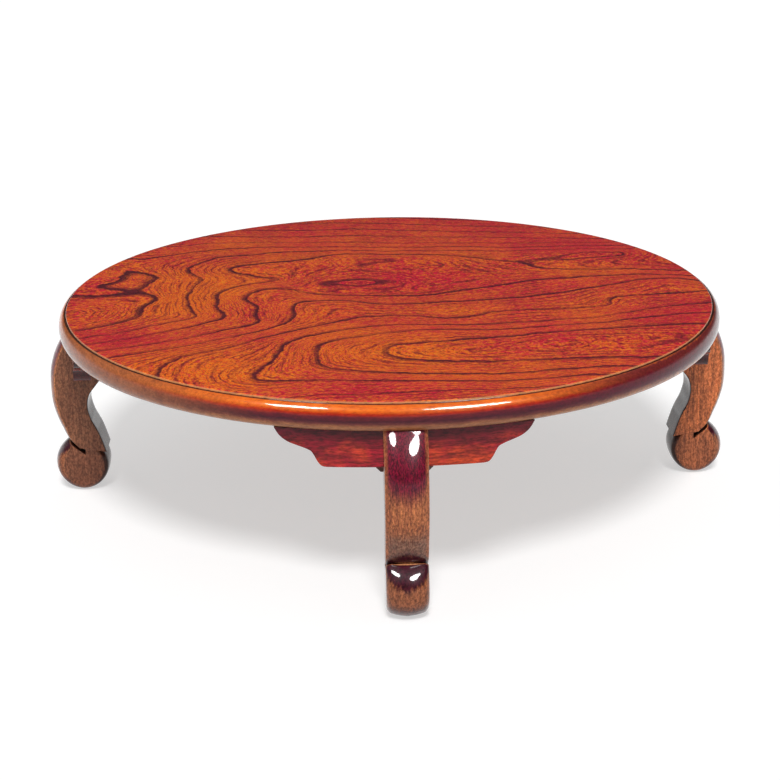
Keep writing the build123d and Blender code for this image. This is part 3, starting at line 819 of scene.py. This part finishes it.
# %% Apron
apron_finish, tree, shader = lacquer("apron_lacquer")
side, outward, piece = own_side(tree)
streaks, pores = streaked(tree, piece, "y")
clouds = noise(tree, piece, 16.0, 3.0)
warm = blend(tree, ease(tree, clouds, 0.42, 0.66), (156, 18, 38), (198, 66, 28))
# painted shade: each wing is dark at the top as a painted shadow under the rim, and its end faces are
# darkened as painted shade
end_painted_shade = calc(tree, "ABSOLUTE", xyz(tree, outward)["Y"])
colour = layered(tree, (84, 10, 26),
                 (ease(tree, xyz(tree, side)["Z"], 0.308, 0.272), warm),
                 (ease(tree, streaks, 0.38, 0.66, 0.0, 0.75), (82, 12, 22)),
                 (ease(tree, end_painted_shade, 0.45, 0.70, 0.0, 0.85), (34, 12, 14)),
                 (times(tree, pores, 0.40), (52, 12, 12)))
colour = speckled(tree, scaled(tree, side, (1.0, 0.2, 1.0)), colour, 0.50)
dress(tree, shader, colour, streaks, 0.30, 0.45)
dent(tree, shader, pores)
print("apron nodes:", len(tree.nodes))

# %% [markdown]
# ## The woods and metals underneath
#
# Nothing under the top is lacquered red: the backing is a plain oiled veneer, the
# battens and the blocks are sawn and sanded wood, and the hinges are enamelled steel.
# They get the same streaks and pores with quieter colours, and no thick coat.

# %% Plain woods
def plain_wood(name, along, light, dark, width=0.006, length=0.25, turned=False):
    """Sanded wood under thin oil, grain along x, y or z of the table or of each side."""
    _, tree, shader = finish(name, Coat_Weight=0.15, Coat_Roughness=0.35)
    place = own_side(tree)[2] if turned else object_place(tree)
    streaks, pores = streaked(tree, place, along, width, length)
    colour = layered(tree, light,
                     (ease(tree, streaks, 0.25, 0.75), dark),
                     (times(tree, noise(tree, place, 6.0, 2.0), 0.25), dark),
                     (times(tree, pores, 0.35), [0.6 * part for part in dark]))
    dress(tree, shader, colour, streaks, 0.45, 0.6)
    dent(tree, shader, pores)


plain_wood("backing_veneer", "x", (150, 104, 68), (112, 70, 44), 0.009, 0.5)
plain_wood("core_wood", "y", (186, 150, 106), (150, 112, 74))
plain_wood("batten_wood_across", "x", (142, 92, 58), (98, 58, 38))
plain_wood("batten_wood_along", "y", (142, 92, 58), (98, 58, 38))
plain_wood("block_wood", "z", (112, 66, 44), (66, 36, 28), 0.004, 0.12, turned=True)
plain_wood("dowel_wood", "y", (196, 164, 118), (164, 128, 86), 0.002, 0.05, turned=True)


# %% Metals and felt
def metal(name, colour, rough):
    """Rolled or drawn metal: its roughness and colour vary in small patches."""
    _, tree, shader = finish(name, Metallic=1.0)
    patches = noise(tree, object_place(tree), 400.0, 3.0)
    mixed = blend(tree, ease(tree, patches, 0.3, 0.7), colour, [0.7 * part for part in colour])
    dress(tree, shader, mixed, patches, rough * 0.7, rough * 1.3)
    bump(tree, shader, patches, 0.15, 0.0002)


def enamel(name, colour, speckle):
    """Stoved black enamel on sheet steel, with the fine orange peel that spraying leaves."""
    _, tree, shader = finish(name, Coat_Weight=0.6, Coat_Roughness=0.15)
    skin = noise(tree, object_place(tree), 900.0, 2.0)
    mixed = blend(tree, ease(tree, skin, 0.35, 0.7), colour, speckle)
    dress(tree, shader, mixed, skin, 0.3, 0.45)
    bump(tree, shader, skin, 0.2, 0.0002)


enamel("hinge_steel", (22, 22, 24), (40, 40, 42))
metal("pin_steel", (176, 176, 178), 0.28)
metal("spring_steel", (120, 118, 116), 0.34)
metal("screw_steel", (186, 160, 104), 0.30)

_, tree, shader = finish("felt", Roughness=0.95, Sheen_Weight=0.4, Sheen_Roughness=0.5)
place = object_place(tree)
fibres = noise(tree, place, 1800.0, 4.0, 0.7)
tufts = noise(tree, place, 300.0, 2.0)
colour = layered(tree, (46, 36, 30),
                 (fibres, (96, 80, 66)),
                 (ease(tree, tufts, 0.3, 0.7, 0.0, 0.4), (60, 46, 38)))
tree.links.new(colour, shader.inputs["Base Color"])
bump(tree, shader, fibres, 0.6, 0.0006)
print("finishes made:", len(FINISHES))

# %% [markdown]
# ## The legs
#
# A leg is sawn to its side outline from a thick board, and then carved: its front is
# crowned from side to side, with crisp edges, and the foot is rounded like a scroll.
# A plain extruded outline would have a flat front that mirrors one lamp as a full
# width band.  So points along the outline are set back, at each place across the
# width, by the crown and by the rounding of the edge.  Shank and foot are made this
# way one by one and then joined, as the notch between them is where they meet.

# %% Outlines in the leg's own directions, in millimetres: distance from the middle, height
SIDES = {"right": 0.0, "back": 90.0, "left": 180.0, "front": 270.0}
LEG_TOP = 313.6
BLOCK_BOTTOM = 230.0
HEAD_BACK = 546.0         # where the head of the leg meets its block
HALF_WIDTH = 34.5
NOTCH = np.array((582.0, 82.0))             # where shank and toe meet
CURVE_STEPS = 9
SHANK_FRONT = ((589, LEG_TOP), (604.5, 292), (617, 268), (625.5, 241), (628.7, 203), (627.3, 172),
               (621, 145), (613.3, 124), (600.5, 99), NOTCH)
SHANK_BACK = ((531, 77), (544, 118), (555.5, 143), (560.5, 166), (556.5, 189), (543, 208),
              (524, BLOCK_BOTTOM))


def curve_through(points, steps):
    """Smooth curve through the points, steps on each stretch: Hermite with chord-length slopes."""
    points = np.array(points, float)
    knots = np.concatenate([[0.0], np.cumsum(np.linalg.norm(np.diff(points, axis=0), axis=1))])
    chords = np.diff(points, axis=0) / np.diff(knots)[:, None]
    before, after = np.diff(knots)[:-1, None], np.diff(knots)[1:, None]
    middle = (chords[:-1] * after + chords[1:] * before) / (before + after)
    slopes = np.vstack([1.5 * chords[0] - 0.5 * middle[0], middle, 1.5 * chords[-1] - 0.5 * middle[-1]])
    result = []
    for i in range(len(points) - 1):
        width = knots[i + 1] - knots[i]
        for step in range(steps):
            t = step / steps
            result.append((2 * t ** 3 - 3 * t ** 2 + 1) * points[i]
                          + (t ** 3 - 2 * t ** 2 + t) * width * slopes[i]
                          + (3 * t ** 2 - 2 * t ** 3) * points[i + 1]
                          + (t ** 3 - t ** 2) * width * slopes[i + 1])
    result.append(points[-1])
    return np.array(result)


def outward_normals(outline):
    """Normals at the corners of a closed outline, long enough to move both its sides evenly."""
    ahead = np.roll(outline, -1, axis=0) - outline
    ahead /= np.linalg.norm(ahead, axis=1)[:, None]
    behind = np.roll(ahead, 1, axis=0)
    normals = np.column_stack([-(ahead + behind)[:, 1], (ahead + behind)[:, 0]])
    normals /= np.linalg.norm(normals, axis=1)[:, None]
    square = np.column_stack([-ahead[:, 1], ahead[:, 0]])
    return normals / np.maximum((normals * square).sum(axis=1), 0.6)[:, None]


def stations_across(rounding, half_width):
    """Places across the width: even ones, and closer ones over each rounded edge."""
    core = half_width - rounding
    inner = [core * share for share in (0.25, 0.5, 0.75, 1.0)]
    edge = [core + rounding * math.sin(math.radians(turn)) for turn in (18, 36, 54, 72, 90)]
    return [-y for y in reversed(inner + edge)] + [0.0] + inner + edge


def fall_at(y, rounding, half_width):
    """How far a rounded edge falls back from the face at y across the width."""
    over = max(0.0, abs(y) - (half_width - rounding))
    return rounding - math.sqrt(max(0.0, rounding ** 2 - over ** 2))


def skinned(stations, outlines):
    """Points and faces of a closed skin over one outline at each place across the width."""
    points = [(x, y, z) for y, outline in zip(stations, outlines) for x, z in outline]
    length = len(outlines[0])
    faces = [tuple(reversed(range(length))), tuple(range(len(points) - length, len(points)))]
    for row in range(len(stations) - 1):
        start = row * length
        for step in range(length):
            after = (step + 1) % length
            faces.append((start + step, start + after, start + length + after, start + length + step))
    return points, faces


# %% Shank, with a crown on its front only
SHANK_CROWN = (8.0, 3.0)  # mm at the edges: the part that grows evenly, and the part that turns down there
SHANK_ROUNDING = 2.0
HEAD_SHARE = 0.72         # of the crown at the head, so that the edges stay in front of the wings
NOTCH_SHARE = 0.4         # of the crown where the shank meets the toe
CROWN_HEIGHTS = (NOTCH[1], 120.0, 268.0, LEG_TOP)      # full between the middle two


def crown_at(y):
    """How far the front falls back at y across the width."""
    share = abs(y) / HALF_WIDTH
    return SHANK_CROWN[0] * share ** 2 + SHANK_CROWN[1] * share ** 4


front = curve_through(SHANK_FRONT, CURVE_STEPS)
back = curve_through(SHANK_BACK, CURVE_STEPS)
shank = np.vstack([front, back, [(HEAD_BACK, BLOCK_BOTTOM), (HEAD_BACK, LEG_TOP)]])
run = np.gradient(front, axis=0)
run /= np.linalg.norm(run, axis=1)[:, None]
depth = np.interp(front[:, 1], CROWN_HEIGHTS, (NOTCH_SHARE, 1.0, 1.0, HEAD_SHARE))
crown = np.zeros_like(shank)
crown[:len(front)] = np.column_stack([-run[:, 1], run[:, 0]]) * depth[:, None]
crown[0] = (HEAD_SHARE, 0.0)
normals = outward_normals(shank)
shank_stations = stations_across(SHANK_ROUNDING, HALF_WIDTH)
shank_outlines = [
    shank - crown * crown_at(y) - normals * fall_at(y, SHANK_ROUNDING, HALF_WIDTH)
    for y in shank_stations
]
print("shank outline points:", len(shank))

# %% Foot: a drum whose toe is cut back along a slope, with a small rounded ridge
FOOT_MIDDLE = np.array((579.0, 50.0))
FOOT_RADIUS = 50.0
FOOT_FLAT = 1.0
FOOT_ROUNDING = 9.0
FOOT_CROWN = 11.0
FOOT_HALF_WIDTH = 34.3
TURNS = (-180.0, -90.0, -45.0, 0.0, 35.0, 66.0)          # places round the drum, in degrees
CROWN_SHARES = (0.2, 0.5, 0.9, 1.0, 1.0, 0.2)            # share of the crown at each of them
SLOPE = np.array((math.cos(math.radians(39.0)), math.sin(math.radians(39.0))))
WALL = 570.0              # where the cut ends, out of sight in the shank
RIDGE_ROUNDING = 2.2
DRUM_STEPS = 72


def foot_outline(y):
    """The foot cut at y across its width, seen from the side."""
    even_radius = FOOT_RADIUS - fall_at(y, FOOT_ROUNDING, FOOT_HALF_WIDTH)
    crown = FOOT_CROWN * (y / FOOT_HALF_WIDTH) ** 2

    def radius_at(angle):
        return even_radius - crown * float(np.interp(math.degrees(angle), TURNS, CROWN_SHARES))

    def on_drum(angle):
        return FOOT_MIDDLE + radius_at(angle) * np.array((math.cos(angle), math.sin(angle)))

    radius = radius_at(math.radians(TURNS[-1]))
    from_middle = NOTCH - FOOT_MIDDLE
    along = from_middle @ SLOPE
    reach = -along + math.sqrt(along ** 2 - from_middle @ from_middle + radius ** 2)
    ridge = NOTCH + SLOPE * reach
    rounding = min(RIDGE_ROUNDING, 0.4 * reach)
    ridge_angle = math.atan2(ridge[1] - FOOT_MIDDLE[1], ridge[0] - FOOT_MIDDLE[0])
    first = ridge_angle - rounding / radius
    last = math.acos((WALL - FOOT_MIDDLE[0]) / radius) - 2 * math.pi
    before, after = ridge - SLOPE * rounding, on_drum(first)
    cut = [NOTCH + SLOPE * (WALL - NOTCH[0]) / SLOPE[0]]
    cut += [NOTCH + (before - NOTCH) * share for share in (0.0, 0.5)]
    corner = [(1 - t) ** 2 * before + 2 * t * (1 - t) * ridge + t ** 2 * after
              for t in (0, 0.25, 0.5, 0.75)]
    drum = [on_drum(first + (last - first) * step / DRUM_STEPS) for step in range(DRUM_STEPS + 1)]
    outline = np.array(cut + corner + drum)
    outline[:, 1] = outline[:, 1].clip(FOOT_FLAT)
    return outline


foot_stations = stations_across(FOOT_ROUNDING, FOOT_HALF_WIDTH)
foot_outlines = [foot_outline(y) for y in foot_stations]
print("foot outline points:", len(foot_outlines[0]))

# %% Join shank and foot, and turn the leg to its four places
CARVED_EDGE = 40.0        # degrees; what turns less than this is shaded smooth
def mesh_from(name, points, faces, scale=0.001):
    """Mesh with all its faces looking outwards."""
    mesh = bpy.data.meshes.new(name)
    mesh.from_pydata([tuple(scale * part for part in point) for point in points], [], faces)
    work = bmesh.new()
    work.from_mesh(mesh)
    bmesh.ops.recalc_face_normals(work, faces=work.faces)
    work.to_mesh(mesh)
    work.free()
    return mesh


def joined(first, second, name):
    """Union of two closed meshes as one new mesh."""
    body = placed("body", first)
    cutter = placed("cutter", second)
    union = body.modifiers.new("union", "BOOLEAN")
    union.operation = "UNION"
    union.solver = "EXACT"
    union.object = cutter
    result = bpy.data.meshes.new_from_object(body.evaluated_get(bpy.context.evaluated_depsgraph_get()))
    result.name = name
    for piece in (body, cutter):
        bpy.data.objects.remove(piece)
    return result


def open_edges(mesh):
    """How many edges don't lie between exactly two faces."""
    work = bmesh.new()
    work.from_mesh(mesh)
    found = sum(not edge.is_manifold for edge in work.edges)
    work.free()
    return found


shank_mesh = mesh_from("shank", *skinned(shank_stations, shank_outlines))
foot_mesh = mesh_from("foot", *skinned(foot_stations, foot_outlines))
leg_shape = joined(shank_mesh, foot_mesh, "leg_shape")
print("leg faces:", len(leg_shape.polygons), " open edges:", open_edges(leg_shape))

for side_name, degrees in SIDES.items():
    leg_mesh = leg_shape.copy()
    leg_mesh.transform(Matrix.Rotation(math.radians(degrees), 4, "Z"))
    smooth(leg_mesh, CARVED_EDGE)
    leg_mesh.materials.clear()
    leg_mesh.materials.append(leg_finish)
    leg = placed("carved_leg_" + side_name, leg_mesh)
    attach(leg, "leg_unit_" + side_name)
    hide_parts("leg_" + side_name)

# %% [markdown]
# ## The apron wings
#
# Each wing is a gently bent board with an ogee at its free end, and its front edge is
# eased with a plane so that it catches a thin line of light.  A curve with an extrude
# would give the outline but not the bend.  So the board is a grid of points: columns
# along its length, each from the ogee up to the rim, bent on a large radius.  A Bevel
# modifier then eases the edges, which keeps the grid simple.

# %% Wing
WING_FACE = 577.0
WING_BEND = 930.0
WING_THICKNESS = 31.0
WING_LENGTH = 203.0
WING_BOTTOM = 250.0
WING_OGEE = ((121, WING_BOTTOM), (130.5, 252), (136.5, 259), (142, 269.5), (146.5, 276), (153, 279.5),
             (168, 285), (183, 291), (194, 299.5), (WING_LENGTH, LEG_TOP))
WING_TIP = (WING_LENGTH - 0.4, LEG_TOP - 1.0)          # the ogee stops square, just under the rim
STRAIGHT_STEPS = 12
OGEE_STEPS = 4
WING_ROWS = 5
WING_EASE = 0.0022
EASED_ANGLE = 50.0
BOX_SLACK = 0.002


def wing_mesh(name, sign):
    """One wing on the first side; sign is -1 or 1 for either end."""
    straight = WING_OGEE[0][0] - HALF_WIDTH
    lower = [(HALF_WIDTH + straight * step / STRAIGHT_STEPS, WING_BOTTOM) for step in range(STRAIGHT_STEPS)]
    lower += [tuple(point) for point in curve_through(WING_OGEE, OGEE_STEPS)]
    lower = [point for point in lower if point[1] < WING_TIP[1]] + [WING_TIP]
    points = []
    for depth in (0.0, WING_THICKNESS):
        for y, low in lower:
            x = WING_FACE - WING_BEND + math.sqrt((WING_BEND - depth) ** 2 - y ** 2)
            for row in range(WING_ROWS + 1):
                z = low + (LEG_TOP - low) * row / WING_ROWS
                points.append((x, sign * y, z))
    columns, rows = len(lower), WING_ROWS + 1
    layer = columns * rows
    faces = []
    for column in range(columns - 1):
        for row in range(WING_ROWS):
            a = column * rows + row
            faces.append((a, a + rows, a + rows + 1, a + 1))
            faces.append((layer + a, layer + a + 1, layer + a + rows + 1, layer + a + rows))
        for row in (0, WING_ROWS):
            a = column * rows + row
            faces.append((a, a + rows, layer + a + rows, layer + a))
    for column in (0, columns - 1):
        for row in range(WING_ROWS):
            a = column * rows + row
            faces.append((a, a + 1, layer + a + 1, layer + a))
    return mesh_from(name, points, faces)


for side_name, degrees in SIDES.items():
    for hand, sign in (("left", -1), ("right", 1)):
        node = "apron_" + side_name + "_" + hand + "_wing"
        mesh = wing_mesh("wing_shape", sign)
        mesh.transform(Matrix.Rotation(math.radians(degrees), 4, "Z"))
        low, high = (np.array(corner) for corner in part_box(node))
        middle = np.array(sum((vertex.co for vertex in mesh.vertices), Vector()) / len(mesh.vertices))
        assert all(low - BOX_SLACK < middle) and all(middle < high + BOX_SLACK), node
        smooth(mesh, CARVED_EDGE)
        mesh.materials.append(apron_finish)
        wing = placed("apron_wing_" + side_name + "_" + hand, mesh)
        eased = wing.modifiers.new("eased_edges", "BEVEL")
        eased.width = WING_EASE
        eased.segments = 3
        eased.limit_method = "ANGLE"
        eased.angle_limit = math.radians(EASED_ANGLE)
        eased.harden_normals = False
        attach(wing, "leg_unit_" + side_name)
        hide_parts(node)
print("wing faces:", len(mesh.polygons))

# %% [markdown]
# ## Dress the parts that keep their shape
#
# The rim, battens, blocks, hinges and screws came out of the frame with the right
# shape, so they only need a finish.  Each solid names its slot, and the finish made
# for that slot goes in.

# %% Finishes by slot
BATTENS = {"batten_across": "batten_wood_across", "batten_along": "batten_wood_along"}

dressed = 0
for node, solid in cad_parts.items():
    for slot in solid.material_slots:
        slot_name = slot.material.name.split(".")[0]
        slot.material = FINISHES[BATTENS.get(node, slot_name)]
        dressed += 1
print("slots dressed:", dressed)

# %% [markdown]
# ## Bring the scene up to date
#
# Looks must not change the size.  Here the scene is only brought up to date.

# %% Update
bpy.context.view_layer.update()
